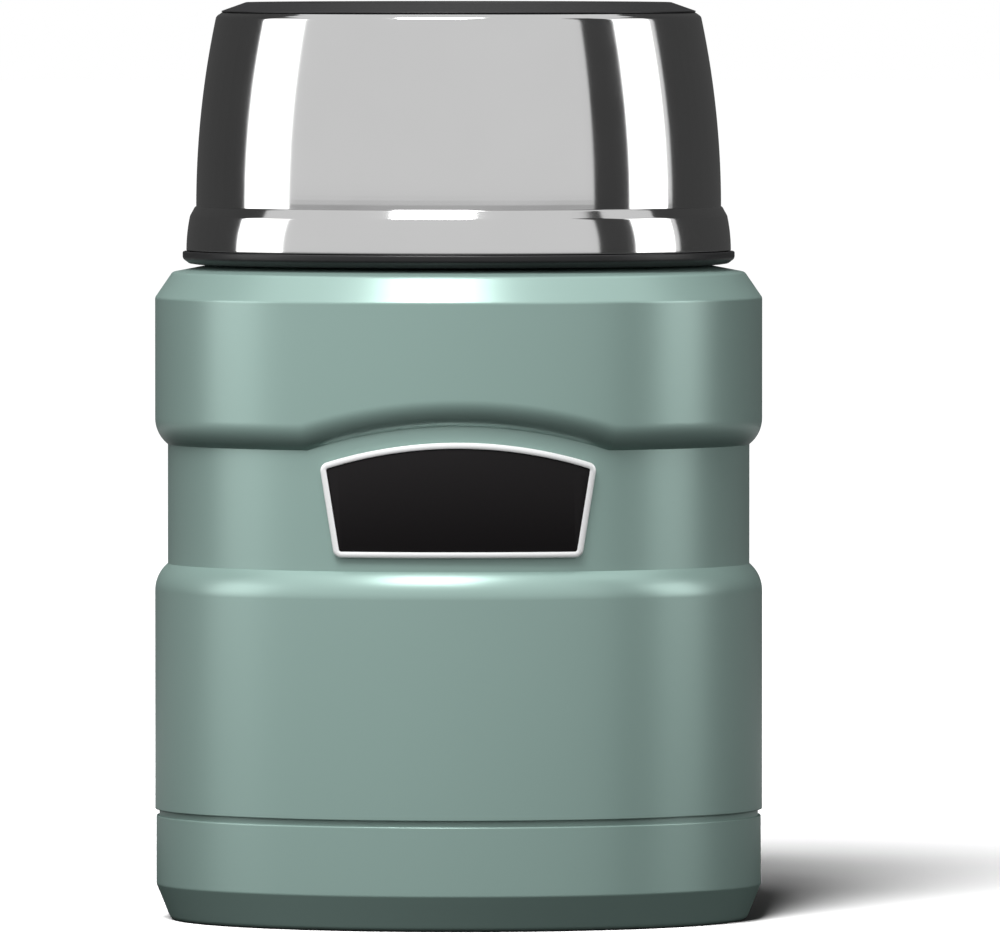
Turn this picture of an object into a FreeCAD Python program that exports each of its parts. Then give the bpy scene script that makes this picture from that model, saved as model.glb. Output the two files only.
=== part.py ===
"""Insulated food jar: a double-walled steel jar, a screw-in stopper and its seal, and a screw-on bowl.

Millimetres, +Z up. The origin is the centre of the circle that the foot stands on, and -Y is the front, where
the badge is. The jar stands closed. The stopper screws over the jar's neck and the bowl screws over the
stopper, on three-start right-hand threads of one lead, so both come off by turning anticlockwise.
"""
import FreeCAD, Part
import math
import os

Vec = FreeCAD.Vector
ORIGIN = Vec(0, 0, 0)
UP = Vec(0, 0, 1)

# Outside of the jar, measured up from the ground
body_radius = 47.0
base_height = 16.2
base_step = 0.2
base_chamfer_height = 5.2
base_chamfer_depth = 2.2
foot_round = 0.9
foot_width = 2.6
foot_recess = 2.0
seam_gap = 0.9
seam_depth = 0.65
seam_lap = 5.0
seam_round = 0.2
lower_wall_height = 33.9
lower_ledge_height = 4.1
band_height = 18.5
band_depth = 1.97
upper_ledge_height = 3.9
upper_wall_height = 18.75
shoulder_chamfer_height = 3.95
shoulder_chamfer_depth = 2.7
shoulder_rise = 1.95
shoulder_round = 0.8
neck_height = 10.9
neck_fillet = 0.9
ledge_crease = 8.0

# Raised front of the band, over the badge
arch_rise = 3.8
arch_half_width = 23.06
arch_run_out = 5.0
arch_sections = 33

# Steel sheet of the double wall
shell_wall = 0.6
vessel_wall = 0.5
lip_height = 0.8
neck_gap = 0.5
vessel_side_gap = 2.4
vessel_shoulder_gap = 3.2
vessel_shoulder_slope = 3.4
vessel_corner = 5.0
vessel_shoulder_round = 2.0
vessel_floor_gap = 3.4
vessel_weld_height = 7.0
foil_thickness = 0.1
foil_gap = 0.05
foil_margin = 3.0

# Pumping port under the base, and the getter in the vacuum
dimple_radius = 5.0
dimple_height = 1.3
port_radius = 1.2
seal_bead_radius = 3.0
seal_bead_height = 1.0
cover_thickness = 0.5
cover_gap = 0.15
getter_radius = 6.0
getter_height = 1.4
holder_wall = 0.3

# Badge on the band
badge_height = 17.7
badge_bottom_half = 18.97
badge_top_half = 21.26
badge_arch_rise = 3.5
badge_top_rise = 1.3
badge_corner = 1.3
badge_corner_least = 0.35
badge_border = 0.95
badge_tape_thickness = 0.15
badge_tape_margin = 0.8
badge_plate_thickness = 0.5
badge_frame_thickness = 0.7
badge_gap = 0.04

# Serving bowl, upside down as the lid
bowl_height = 40.55
bowl_setback = 4.85
bowl_skirt_height = 6.7
bowl_step_depth = 1.52
bowl_step_flat = 0.22
bowl_wall_taper = 3.13
bowl_edge_height = 2.1
bowl_edge_depth = 4.6
bowl_top_flange = 3.6
bowl_top_lip = 0.6
sleeve_wall = 0.5
sleeve_round = 0.9
liner_side_gap = 0.45
liner_wall = 1.5
liner_floor_wall = 1.6
liner_floor_gap = 5.0
liner_floor_taper = 1.4
liner_corner = 4.0
liner_flange_width = 0.7
liner_flange_height = 0.6
liner_mouth_round = 0.4
liner_flange_round = 0.2
liner_seat_round = 0.3
foot_plate_edge = 0.2
foot_plate_lip = 0.15
foot_plate_round = 0.5
foot_dish_radius = 27.0
foot_dish_depth = 0.8
foot_dish_round = 0.4
foot_plate_thickness = 1.5
foot_spigot_height = 1.2
foot_spigot_wall = 1.6
foot_post_radius = 2.4
foot_post_circle = 24.0
foot_post_count = 4
foot_post_bite = 0.3
rim_height = 2.15
rim_overhang = 0.58
rim_round = 0.75
rim_flare_height = 0.9
rim_under_width = 1.0
rim_under_round = 0.6
rim_mouth_round = 0.15
rim_top_round = 0.25
rim_upstand_height = 1.6
rim_upstand_inset = 0.15

# Stopper
stopper_skirt_wall = 1.6
stopper_grip_height = 8.6
stopper_shelf_wall = 1.8
stopper_grip_wall = 1.8
stopper_top_wall = 1.6
stopper_dish_depth = 1.2
stopper_dish_rim = 5.2
stopper_foot_round = 0.3
stopper_shelf_round = 0.5
stopper_top_round = 0.8
stopper_dish_round = 0.4
rib_height = 0.5
rib_width = 1.5
rib_count = 48
rib_chamfer = 0.4
rib_bite = 0.4
rib_low_margin = 0.6
rib_high_margin = 1.0
plug_depth = 9.0
plug_side_gap = 1.0
plug_wall = 1.6
plug_corner = 1.6
seal_thickness = 1.5
seal_groove_depth = 0.9
seal_side_gap = 0.5
groove_round = 0.2
core_gap = 0.15

# Threads, the same form for jar and bowl
thread_lead = 12.0
thread_starts = 3
thread_height = 1.0
thread_root_width = 1.8
thread_crest_width = 0.9
thread_gap = 0.3
thread_margin = 1.3
thread_root_bite = 0.25
thread_run_in = 14.0
thread_tip_start = 0.12
thread_step_angle = 7.5
outer_thread_start = 1.0
inner_thread_start = 0.2
neck_thread_span = 5.4
bowl_thread_span = 6.2

# Clearances between pieces that turn or lift against each other
lid_gap = 0.3
turning_gap = 0.3
close_gap = 0.12
seat_overlap = 0.5
seat_gap = 0.3
grip_gap = 0.6
seal_gap = 0.06

# How far the tools of the cuts reach past what they cut, and the size below which two lengths are one
cut_past = 1.0
arch_cut_past = 2.0
arch_cut_flare = 0.5
length_tolerance = 1e-6

# Heights of the jar's outside
shell_bottom = base_height + seam_gap
lower_wall_top = shell_bottom + lower_wall_height
band_bottom = lower_wall_top + lower_ledge_height
band_top = band_bottom + band_height
upper_wall_bottom = band_top + upper_ledge_height
upper_wall_top = upper_wall_bottom + upper_wall_height
shoulder_edge = upper_wall_top + shoulder_chamfer_height
neck_foot = shoulder_edge + shoulder_rise
lip_top = neck_foot + neck_height
lip_bottom = lip_top - lip_height

# Radii, from the outside of the bowl inwards to the mouth
band_radius = body_radius - band_depth
base_radius = body_radius - base_step
shoulder_radius = body_radius - shoulder_chamfer_depth
skirt_radius = body_radius - bowl_setback
bowl_radius = skirt_radius - bowl_step_depth
bowl_top_radius = bowl_radius - bowl_wall_taper
liner_radius = bowl_radius - sleeve_wall - liner_side_gap
liner_bore = liner_radius - liner_wall
stopper_radius = liner_bore - thread_height - thread_gap
stopper_bore = stopper_radius - stopper_skirt_wall
neck_radius = stopper_bore - thread_height - thread_gap
vessel_neck_radius = neck_radius - shell_wall - neck_gap
mouth_radius = vessel_neck_radius - vessel_wall
vessel_radius = band_radius - shell_wall - vessel_side_gap
rim_radius = skirt_radius + rim_overhang

# Heights of the stopper and the bowl
shoulder_slope = shoulder_rise / (shoulder_radius - neck_radius)
seal_bottom = lip_top + seal_gap
shelf_bottom = seal_bottom + seal_thickness + seal_gap
flange_top = shelf_bottom + stopper_shelf_wall
stopper_top = flange_top + stopper_grip_height
skirt_bottom = neck_foot + thread_margin
plug_bottom = shelf_bottom - seal_thickness - plug_depth
rim_bottom = shoulder_edge + shoulder_slope * (shoulder_radius - liner_radius) + lid_gap
rim_top = rim_bottom + rim_height
bowl_top = rim_bottom + bowl_height
bowl_step = rim_top + bowl_skirt_height
bowl_edge = bowl_top - bowl_edge_height
sleeve_top = bowl_top - foot_plate_thickness
bowl_seat = flange_top + seat_gap
bowl_seat_radius = stopper_radius - seat_overlap
bowl_floor_radius = bowl_seat_radius - liner_floor_taper
liner_top = sleeve_top - liner_floor_gap
bowl_floor = liner_top - liner_floor_wall
liner_bottom = shoulder_edge + shoulder_slope * (shoulder_radius - liner_bore) + lid_gap

# The grip has to pass inside the bowl at the height of the stopper's top
grip_share = (stopper_top - bowl_seat) / (bowl_floor - bowl_seat)
bowl_bore_at_grip = bowl_seat_radius - liner_floor_taper * grip_share
grip_radius = bowl_bore_at_grip - grip_gap - rib_height
plug_radius = mouth_radius - plug_side_gap
groove_radius = plug_radius - seal_groove_depth
core_radius = groove_radius - plug_wall - core_gap

# Half a pitch sets the inner ridges midway between the outer ones
half_pitch = thread_lead / thread_starts / 2


def section(points, angle=0.0):
    """Closed wire of (radius, height[, corner round]) points in the half plane at an angle about Z.

    A point given as (radius, height, "bow") is not a corner: its neighbours are joined by the arc through it.
    """
    across = Vec(math.sin(math.radians(angle)), -math.cos(math.radians(angle)), 0)

    def place(r, z):
        return across * r + Vec(0, 0, z)

    count = len(points)
    joins = []
    for i, point in enumerate(points):
        here = place(point[0], point[1])
        size = point[2] if len(point) > 2 else 0
        if size == "bow" or not size:
            joins.append((here, here, None))
            continue
        back = (place(*points[i - 1][:2]) - here).normalize()
        ahead = (place(*points[(i + 1) % count][:2]) - here).normalize()
        half = back.getAngle(ahead) / 2
        reach = size / math.tan(half)
        middle = (back + ahead).normalize()
        top = here + middle * (size / math.sin(half) - size)
        joins.append((here + back * reach, here + ahead * reach, top))
    edges = []
    for i, (start, end, top) in enumerate(joins):
        if top is not None:
            edges.append(Part.Arc(start, top, end).toShape())
        if len(points[i]) > 2 and points[i][2] == "bow":
            continue
        after = (i + 1) % count
        if len(points[after]) > 2 and points[after][2] == "bow":
            far = joins[(i + 2) % count][0]
            edges.append(Part.Arc(end, joins[after][0], far).toShape())
        elif (joins[after][0] - end).Length > length_tolerance:
            edges.append(Part.LineSegment(end, joins[after][0]).toShape())
    return Part.Wire(edges)


def turned(points):
    """Solid swept round Z by a closed outline of section() points, with its seam at the back."""
    return Part.Face(section(points, 180)).revolve(ORIGIN, UP, 360)


def tube(inner, outer, low, high):
    """Plain ring between two radii and two heights."""
    return turned([(inner, low), (outer, low), (outer, high), (inner, high)])


def bow_between(low, high, steep_end, crease):
    """Midpoint of the arc from low to high whose tangent at steep_end is crease degrees off upright."""
    (r0, z0), (r1, z1) = low, high
    chord = math.hypot(r1 - r0, z1 - z0)
    lean = math.atan2(abs(r1 - r0), z1 - z0)
    half = lean - math.radians(crease)
    sagitta = chord / 2 * math.tan(half / 2)
    outward = (abs(z1 - z0) / chord, abs(r1 - r0) / chord * (1 if steep_end == "low" else -1))
    return ((r0 + r1) / 2 + outward[0] * sagitta, (z0 + z1) / 2 + outward[1] * sagitta, "bow")


def thread(wall_radius, outward, low, high, shift):
    """The ridges of one thread between two heights, each bitten into the wall and tapering away at its ends.

    shift moves the ridges along Z, so that two mating threads can share the lead and still clear each other.
    """
    side = 1 if outward else -1
    root = wall_radius - side * thread_root_bite
    crest = wall_radius + side * thread_height
    turn = 360.0 / thread_lead
    first = (low + thread_root_width / 2 - shift) * turn
    last = (high - thread_root_width / 2 - shift) * turn
    steps = max(8, round((last - first) / thread_step_angle))
    ridges = []
    for start in range(thread_starts):
        rails = [[], [], [], []]
        for i in range(steps + 1):
            angle = first + (last - first) * i / steps
            run = min(1.0, min(angle - first, last - angle) / thread_run_in)
            grown = thread_tip_start + (1 - thread_tip_start) * math.sin(run * math.pi / 2)
            tip = root + (crest - root) * grown
            height = angle / turn + shift
            spin = math.radians(angle + start * 360.0 / thread_starts)
            corners = (
                (root, -thread_root_width / 2),
                (tip, -thread_crest_width / 2),
                (tip, thread_crest_width / 2),
                (root, thread_root_width / 2),
            )
            for rail, (radius, offset) in zip(rails, corners):
                rail.append(Vec(radius * math.cos(spin), radius * math.sin(spin), height + offset))
        curves = []
        for rail in rails:
            curve = Part.BSplineCurve()
            curve.interpolate(rail)
            curves.append(curve.toShape())
        faces = [Part.makeRuledSurface(curves[k], curves[(k + 1) % 4]) for k in range(4)]
        for end in (0, -1):
            faces.append(Part.Face(Part.makePolygon([rail[end] for rail in rails] + [rails[0][end]])))
        ridges.append(Part.makeSolid(Part.makeShell(faces)))
    return ridges


def arch_height(angle):
    """How far the top of the band stands above its plain height, at an angle from the front."""
    radius = (arch_half_width ** 2 + arch_rise ** 2) / (2 * arch_rise)
    across = band_radius * math.sin(math.radians(angle))
    return math.sqrt(radius ** 2 - across ** 2) - (radius - arch_rise)


def arch_cut(wall):
    """The space above the plain band that the arch opens, for a surface one wall inside the jar."""
    inner = band_radius - wall
    outer = body_radius - wall
    reach = math.degrees(math.asin(arch_half_width / band_radius)) + arch_run_out
    floor = band_top - 2 * arch_cut_past - arch_rise
    sections = []
    for i in range(arch_sections):
        angle = -reach + 2 * reach * i / (arch_sections - 1)
        corner = band_top + arch_height(angle)
        crown = corner + upper_ledge_height
        low = (inner, corner)
        high = (outer, crown)
        bow = bow_between(low, high, "high", ledge_crease)
        lean = math.atan2(outer - inner, upper_ledge_height)
        foot_lean = 2 * lean - math.radians(ledge_crease)
        head = crown + arch_cut_flare / math.tan(math.radians(ledge_crease))
        sections.append(section([
            (inner - arch_cut_past, floor),
            (outer + 2 * arch_cut_past, floor),
            (outer + 2 * arch_cut_past, head),
            (outer + arch_cut_flare, head),
            high,
            bow,
            low,
            (inner - arch_cut_past, corner - arch_cut_past / math.tan(foot_lean)),
        ], angle))
    blob = Part.makeLoft(sections, True, True)
    return blob.common(tube(inner, outer + arch_cut_past, band_bottom, upper_wall_top))


def casing(wall):
    """The jar's outside as a filled form, or the same form one wall further in."""
    extra = cut_past if wall else 0.0
    side = body_radius - wall
    band = band_radius - wall
    form = turned([
        (0, shell_bottom - extra),
        (side, shell_bottom - extra),
        (side, lower_wall_top),
        bow_between((side, lower_wall_top), (band, band_bottom), "low", ledge_crease),
        (band, band_bottom),
        (band, band_top),
        bow_between((band, band_top), (side, upper_wall_bottom), "high", ledge_crease),
        (side, upper_wall_bottom),
        (side, upper_wall_top - wall / 2, shoulder_round),
        (shoulder_radius - wall / 2, shoulder_edge - wall, shoulder_round),
        (neck_radius - wall, neck_foot - wall, neck_fillet),
        (neck_radius - wall, lip_bottom + extra),
        (0, lip_bottom + extra),
    ])
    return form.cut(arch_cut(wall))


def outer_shell():
    """Drawn steel casing, with the thread rolled into its neck."""
    shell = casing(0).cut(casing(shell_wall))
    low = skirt_bottom + outer_thread_start
    ridges = thread(neck_radius, True, low, low + neck_thread_span, 0.0)
    return shell.fuse(ridges)


def base_cap():
    """Pressed cup that closes the casing from below and laps up inside it."""
    lap = body_radius - seam_depth
    wall = shell_wall
    foot_outer = base_radius - base_chamfer_depth
    foot_inner = foot_outer - foot_width
    roof = foot_recess + wall
    dimple = foot_recess + dimple_height
    cup = turned([
        (0, dimple + wall),
        (0, dimple),
        (dimple_radius, dimple),
        (dimple_radius + dimple_height, foot_recess),
        (foot_inner - foot_recess / 2, foot_recess),
        (foot_inner, 0, foot_round / 2),
        (foot_outer, 0, foot_round),
        (base_radius, base_chamfer_height, shoulder_round),
        (base_radius, base_height, seam_round),
        (lap, base_height),
        (lap, base_height + seam_lap),
        (lap - wall, base_height + seam_lap),
        (lap - wall, base_height - wall),
        (base_radius - wall, base_height - 2 * wall),
        (base_radius - wall, base_chamfer_height + wall / 4),
        (foot_outer - wall / 2, wall),
        (foot_inner + wall / 2, wall),
        (foot_inner - foot_recess / 2, roof),
        (dimple_radius + dimple_height, roof),
        (dimple_radius, dimple + wall),
    ])
    return cup.cut(tube(0, port_radius, 0, dimple + 2 * wall))


def vacuum_seal():
    """Brazed bead in the dimple, with its stem in the pumping port."""
    dimple = foot_recess + dimple_height
    return turned([
        (0, dimple - seal_bead_height),
        (seal_bead_radius, dimple - seal_bead_height, seal_bead_height / 3),
        (seal_bead_radius, dimple),
        (port_radius - cover_gap / 3, dimple),
        (port_radius - cover_gap / 3, dimple + shell_wall),
        (0, dimple + shell_wall),
    ])


def base_cover():
    """Plain disc glued into the recess under the jar."""
    radius = base_radius - base_chamfer_depth - foot_width - foot_recess / 2 - 2 * cover_gap
    low = foot_recess - cover_thickness
    return tube(0, radius, low, foot_recess)


def inner_vessel():
    """Side, shoulder and neck of the food vessel, ending in the lip that is welded to the casing's neck."""
    side_top = upper_wall_top - vessel_shoulder_gap
    neck_bottom = side_top + vessel_shoulder_slope
    weld = vessel_floor_bottom() + vessel_weld_height
    inside = vessel_radius - vessel_wall
    drop = vessel_wall / 2
    return turned([
        (vessel_radius, weld),
        (vessel_radius, side_top, vessel_shoulder_round),
        (vessel_neck_radius, neck_bottom, vessel_shoulder_round),
        (vessel_neck_radius, lip_bottom),
        (neck_radius, lip_bottom),
        (neck_radius, lip_top, lip_height / 2.5),
        (mouth_radius, lip_top, lip_height / 2.5),
        (mouth_radius, neck_bottom - drop, vessel_shoulder_round + vessel_wall),
        (inside, side_top - drop, vessel_shoulder_round - vessel_wall),
        (inside, weld),
    ])


def vessel_floor_bottom():
    """Height of the underside of the food vessel."""
    return foot_recess + shell_wall + vessel_floor_gap


def inner_floor():
    """Dished end welded under the food vessel."""
    low = vessel_floor_bottom()
    inside = vessel_radius - vessel_wall
    return turned([
        (0, low),
        (vessel_radius, low, vessel_corner),
        (vessel_radius, low + vessel_weld_height),
        (inside, low + vessel_weld_height),
        (inside, low + vessel_wall, vessel_corner - vessel_wall),
        (0, low + vessel_wall),
    ])


def heat_foil():
    """Reflecting foil wrapped round the vessel inside the vacuum."""
    inner = vessel_radius + foil_gap
    low = vessel_floor_bottom() + vessel_corner + foil_margin
    high = upper_wall_top - vessel_shoulder_gap - foil_margin
    return tube(inner, inner + foil_thickness, low, high)


def getter_holder():
    """Shallow pressed cup under the vessel that carries the getter."""
    high = vessel_floor_bottom()
    outer = getter_radius + close_gap + holder_wall
    return turned([
        (0, high - getter_height - close_gap - holder_wall),
        (outer, high - getter_height - close_gap - holder_wall, holder_wall * 1.5),
        (outer, high),
        (outer - holder_wall, high),
        (outer - holder_wall, high - getter_height - close_gap),
        (0, high - getter_height - close_gap),
    ])


def getter():
    """Pill that takes up stray gas from the vacuum."""
    high = vessel_floor_bottom() - close_gap / 2
    return tube(0, getter_radius, high - getter_height, high)


def badge_outline(margin):
    """The badge's outline seen from the front, a margin inside its edge."""
    low = band_top + badge_top_rise - badge_height + margin
    top = low - margin + badge_height
    lean = (badge_top_half - badge_bottom_half) / (badge_height - badge_arch_rise)
    side = margin * math.hypot(1, lean)
    low_half = badge_bottom_half + lean * margin - side
    radius = (badge_top_half ** 2 + badge_arch_rise ** 2) / (2 * badge_arch_rise) - margin
    centre = top - margin - radius
    # The side's line meets the top arc where their heights agree
    half = badge_top_half - side
    for _ in range(20):
        height = centre + math.sqrt(radius ** 2 - half ** 2)
        half = low_half + lean * (height - low)
    corner = max(badge_corner - margin, badge_corner_least)

    def flat(x, z):
        return Vec(x, 0, z)

    arc = Part.Arc(flat(-half, height), flat(0, centre + radius), flat(half, height)).toShape()
    right = Part.LineSegment(flat(half, height), flat(low_half, low)).toShape()
    under = Part.LineSegment(flat(low_half, low), flat(-low_half, low)).toShape()
    left = Part.LineSegment(flat(-low_half, low), flat(-half, height)).toShape()
    block = Part.Face(Part.Wire([arc, right, under, left])).extrude(Vec(0, -2 * body_radius, 0))
    upright = [e for e in block.Edges if abs(e.tangentAt(e.FirstParameter).y) > 0.999]
    return block.makeFillet(corner, upright)


def badge_layer(margin, low, high):
    """One layer of the badge, bent round the band between two heights above its surface."""
    ring = tube(band_radius + low, band_radius + high, band_bottom, upper_wall_bottom + arch_rise)
    return badge_outline(margin).common(ring)


def badge_tape():
    """Adhesive film behind the badge."""
    return badge_layer(badge_tape_margin, 0.0, badge_tape_thickness)


def badge_frame():
    """Pale border of the badge."""
    top = badge_tape_thickness + badge_frame_thickness
    return badge_layer(0.0, badge_tape_thickness, top).cut(badge_outline(badge_border))


def badge_plate():
    """Dark field of the badge, left bare."""
    top = badge_tape_thickness + badge_plate_thickness
    return badge_layer(badge_border + badge_gap, badge_tape_thickness, top)


def stopper_seal():
    """Soft ring between the jar's lip and the stopper's shelf, held in the plug's groove."""
    inner = groove_radius + turning_gap
    outer = stopper_bore - seal_side_gap
    edge = seal_thickness / 4
    return turned([
        (inner, seal_bottom, edge),
        (outer, seal_bottom, edge),
        (outer, seal_bottom + seal_thickness, edge),
        (inner, seal_bottom + seal_thickness, edge),
    ])


def stopper_cap():
    """Outer moulding of the stopper: threaded skirt, shelf over the seal and ribbed grip."""
    inner_grip = grip_radius - stopper_grip_wall
    opening = core_radius + core_gap
    dish = grip_radius - stopper_dish_rim
    dish_floor = stopper_top - stopper_dish_depth
    shell = turned([
        (stopper_bore, skirt_bottom, stopper_foot_round),
        (stopper_radius, skirt_bottom, stopper_foot_round),
        (stopper_radius, flange_top, stopper_shelf_round),
        (grip_radius, flange_top),
        (grip_radius, stopper_top, stopper_top_round),
        (dish + stopper_dish_depth / 2, stopper_top, stopper_dish_round),
        (dish, dish_floor, stopper_dish_round),
        (0, dish_floor),
        (0, dish_floor - stopper_top_wall),
        (inner_grip, dish_floor - stopper_top_wall),
        (inner_grip, flange_top),
        (opening, flange_top),
        (opening, shelf_bottom),
        (stopper_bore, shelf_bottom),
    ])
    inner_low = skirt_bottom + inner_thread_start
    outer_low = skirt_bottom + outer_thread_start
    inside = thread(stopper_bore, False, inner_low, inner_low + neck_thread_span, -half_pitch)
    outside = thread(stopper_radius, True, outer_low, outer_low + bowl_thread_span, 0.0)
    return shell.fuse(inside + outside + grip_ribs())


def grip_ribs():
    """Upright ribs round the grip, each a rounded bar sunk into the wall."""
    depth = rib_height + rib_bite
    height = stopper_grip_height - rib_low_margin - rib_high_margin
    ribs = []
    for i in range(rib_count):
        angle = i * 360.0 / rib_count
        bar = Part.makeBox(depth, rib_width, height, Vec(0, -rib_width / 2, 0))
        bar = bar.makeChamfer(rib_chamfer, [e for e in bar.Edges if on_outer_corner(e, depth)])
        bar.translate(Vec(grip_radius - rib_bite, 0, flange_top + rib_low_margin))
        bar.rotate(ORIGIN, UP, angle)
        ribs.append(bar)
    return ribs


def on_outer_corner(edge, depth):
    """True for a bar's two upright edges on its far face."""
    ends = [v.Point for v in edge.Vertexes]
    upright = abs(ends[0].z - ends[1].z) > rib_width
    return upright and all(abs(p.x - depth) < length_tolerance for p in ends)


def stopper_plug():
    """Cup welded under the stopper's shelf, with the groove that holds the seal."""
    inside = core_radius + core_gap
    groove_low = seal_bottom - 2 * seal_gap
    return turned([
        (0, plug_bottom),
        (plug_radius, plug_bottom, plug_corner),
        (plug_radius, groove_low, groove_round),
        (groove_radius, groove_low),
        (groove_radius, shelf_bottom),
        (inside, shelf_bottom),
        (inside, plug_bottom + plug_wall),
        (0, plug_bottom + plug_wall),
    ])


def stopper_core():
    """Foam that fills the stopper."""
    low = plug_bottom + plug_wall + core_gap
    high = stopper_top - stopper_dish_depth - stopper_top_wall - core_gap
    return tube(0, core_radius, low, high)


def bowl_shell():
    """Polished steel sleeve: skirt, step, leaning side and turned-in top."""
    outer = sleeve_outline(0.0)
    inner = sleeve_outline(sleeve_wall)
    return turned(outer + inner[::-1])


def sleeve_outline(wall):
    """The sleeve's outside from its foot to its top flange, or the same path one wall further in."""
    lean = math.atan2(bowl_edge_height - foot_plate_thickness, bowl_edge_depth)
    skirt_low = (skirt_radius - wall, rim_top)
    skirt_high = (bowl_radius + bowl_step_flat - wall, bowl_step)
    side_low = (bowl_radius - wall, bowl_step + bowl_step_flat / 2)
    side_high = (bowl_top_radius - wall, bowl_edge - wall / 2)
    flange_radius = bowl_top_radius - (bowl_edge_depth - bowl_top_flange) - wall * math.tan(lean)
    return [
        skirt_low,
        bow_between(skirt_low, skirt_high, "low", 0.0),
        skirt_high,
        side_low,
        bow_between(side_low, side_high, "low", 0.0),
        side_high,
        (flange_radius, sleeve_top - wall),
        (bowl_top_radius - bowl_edge_depth + bowl_top_lip, sleeve_top - wall),
    ]


def bowl_liner():
    """Moulded bowl inside the sleeve, threaded at its mouth."""
    low = liner_bottom
    flange = liner_radius + liner_flange_width
    wall = liner_wall
    body = turned([
        (liner_bore, low, liner_mouth_round),
        (flange, low, liner_flange_round),
        (flange, low + liner_flange_height),
        (liner_radius, low + liner_flange_height),
        (liner_radius, bowl_seat + wall),
        (bowl_seat_radius + wall, bowl_seat + 2 * wall),
        (bowl_floor_radius + wall, liner_top, liner_corner + wall),
        (0, liner_top),
        (0, bowl_floor),
        (bowl_floor_radius, bowl_floor, liner_corner),
        (bowl_seat_radius, bowl_seat, liner_seat_round),
        (liner_bore, bowl_seat),
    ])
    thread_low = skirt_bottom + inner_thread_start
    ridges = thread(liner_bore, False, thread_low, thread_low + bowl_thread_span, -half_pitch)
    return body.fuse(ridges)


def bowl_rim():
    """Ring round the bowl's mouth, under the sleeve and round the liner."""
    flange = liner_radius + liner_flange_width + turning_gap
    flange_high = liner_bottom + liner_flange_height + close_gap
    bore = liner_radius + turning_gap
    top = rim_top - close_gap
    upstand = skirt_radius - sleeve_wall - turning_gap - rim_upstand_inset
    return turned([
        (flange, rim_bottom, rim_mouth_round),
        (rim_radius - rim_under_width, rim_bottom + rim_mouth_round, rim_under_round),
        (rim_radius, rim_bottom + rim_flare_height, rim_round),
        (rim_radius, top, rim_top_round),
        (upstand, top),
        (upstand, top + rim_upstand_height),
        (bore, top + rim_upstand_height),
        (bore, flange_high),
        (flange, flange_high),
    ])


def bowl_foot():
    """Base that the bowl stands on when it is turned over: the top of the closed jar."""
    spigot = bowl_top_radius - bowl_edge_depth + bowl_top_lip - close_gap
    edge = bowl_top_radius - (bowl_edge_depth - bowl_top_flange) + foot_plate_edge
    dish = bowl_top - foot_dish_depth
    under = dish - foot_plate_thickness
    low = sleeve_top - sleeve_wall - foot_spigot_height
    plate = turned([
        (0, dish),
        (foot_dish_radius, dish, foot_dish_round),
        (foot_dish_radius + foot_dish_depth, bowl_top, foot_dish_round),
        (bowl_top_radius - bowl_edge_depth, bowl_top, foot_plate_round),
        (edge, sleeve_top + foot_plate_lip),
        (edge, sleeve_top),
        (spigot, sleeve_top),
        (spigot, low),
        (spigot - foot_spigot_wall, low),
        (spigot - foot_spigot_wall, under),
        (0, under),
    ])
    posts = []
    for i in range(foot_post_count):
        foot = Vec(foot_post_circle, 0, liner_top)
        post = Part.makeCylinder(foot_post_radius, under - liner_top + foot_post_bite, foot)
        post.rotate(ORIGIN, UP, (i + 0.5) * 360.0 / foot_post_count)
        posts.append(post)
    return plate.fuse(posts)


PIECES = (
    outer_shell, base_cap, vacuum_seal, base_cover, inner_vessel, inner_floor, heat_foil,
    getter_holder, getter, badge_tape, badge_frame, badge_plate,
    stopper_seal, stopper_cap, stopper_plug, stopper_core,
    bowl_rim, bowl_shell, bowl_liner, bowl_foot,
)

os.makedirs("parts", exist_ok=True)
for piece in PIECES:
    shape = piece()
    shape.exportStep("parts/" + piece.__name__ + ".step")
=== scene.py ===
"""Looks of the insulated food jar: painted steel body, blank badge, polished serving bowl and black trim.

Metres, +Z up, -Y the front. The outlines are written in millimetres and turned round the jar's axis.
"""
import math

import bmesh
import bpy
from mathutils import Euler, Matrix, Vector


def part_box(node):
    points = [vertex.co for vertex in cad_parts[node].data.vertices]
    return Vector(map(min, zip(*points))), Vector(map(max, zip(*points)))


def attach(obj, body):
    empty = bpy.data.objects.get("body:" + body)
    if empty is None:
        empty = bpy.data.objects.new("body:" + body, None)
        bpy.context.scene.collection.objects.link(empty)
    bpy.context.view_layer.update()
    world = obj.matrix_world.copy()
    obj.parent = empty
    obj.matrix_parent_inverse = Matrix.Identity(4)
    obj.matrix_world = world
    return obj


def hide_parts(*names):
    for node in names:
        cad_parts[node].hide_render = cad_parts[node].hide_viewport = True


bl_info = {
    "name": "Insulated food jar",
    "version": (1, 0, 0),
    "blender": (4, 5, 0),
    "location": "View3D > Sidebar > Food Jar",
    "description": "Builds the jar's visible pieces, its finishes and a plain studio",
    "category": "Object",
}

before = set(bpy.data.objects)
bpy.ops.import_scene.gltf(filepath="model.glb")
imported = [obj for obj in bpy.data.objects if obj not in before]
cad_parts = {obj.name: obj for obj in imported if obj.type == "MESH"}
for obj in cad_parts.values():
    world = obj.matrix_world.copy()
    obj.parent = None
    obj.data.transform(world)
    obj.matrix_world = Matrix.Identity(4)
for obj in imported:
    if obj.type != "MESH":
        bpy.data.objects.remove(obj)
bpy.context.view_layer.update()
SHELL_RADIUS, _, SHELL_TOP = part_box("outer_shell")[1]
MM = 0.001
# Edges that turn more sharply than this stay crisp
CREASE = math.radians(32)


def linear(code):
    """An sRGB hex colour as linear red, green and blue."""
    parts = [int(code[i:i + 2], 16) / 255 for i in (0, 2, 4)]
    return tuple(c / 12.92 if c <= 0.04045 else ((c + 0.055) / 1.055) ** 2.4 for c in parts)


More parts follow.
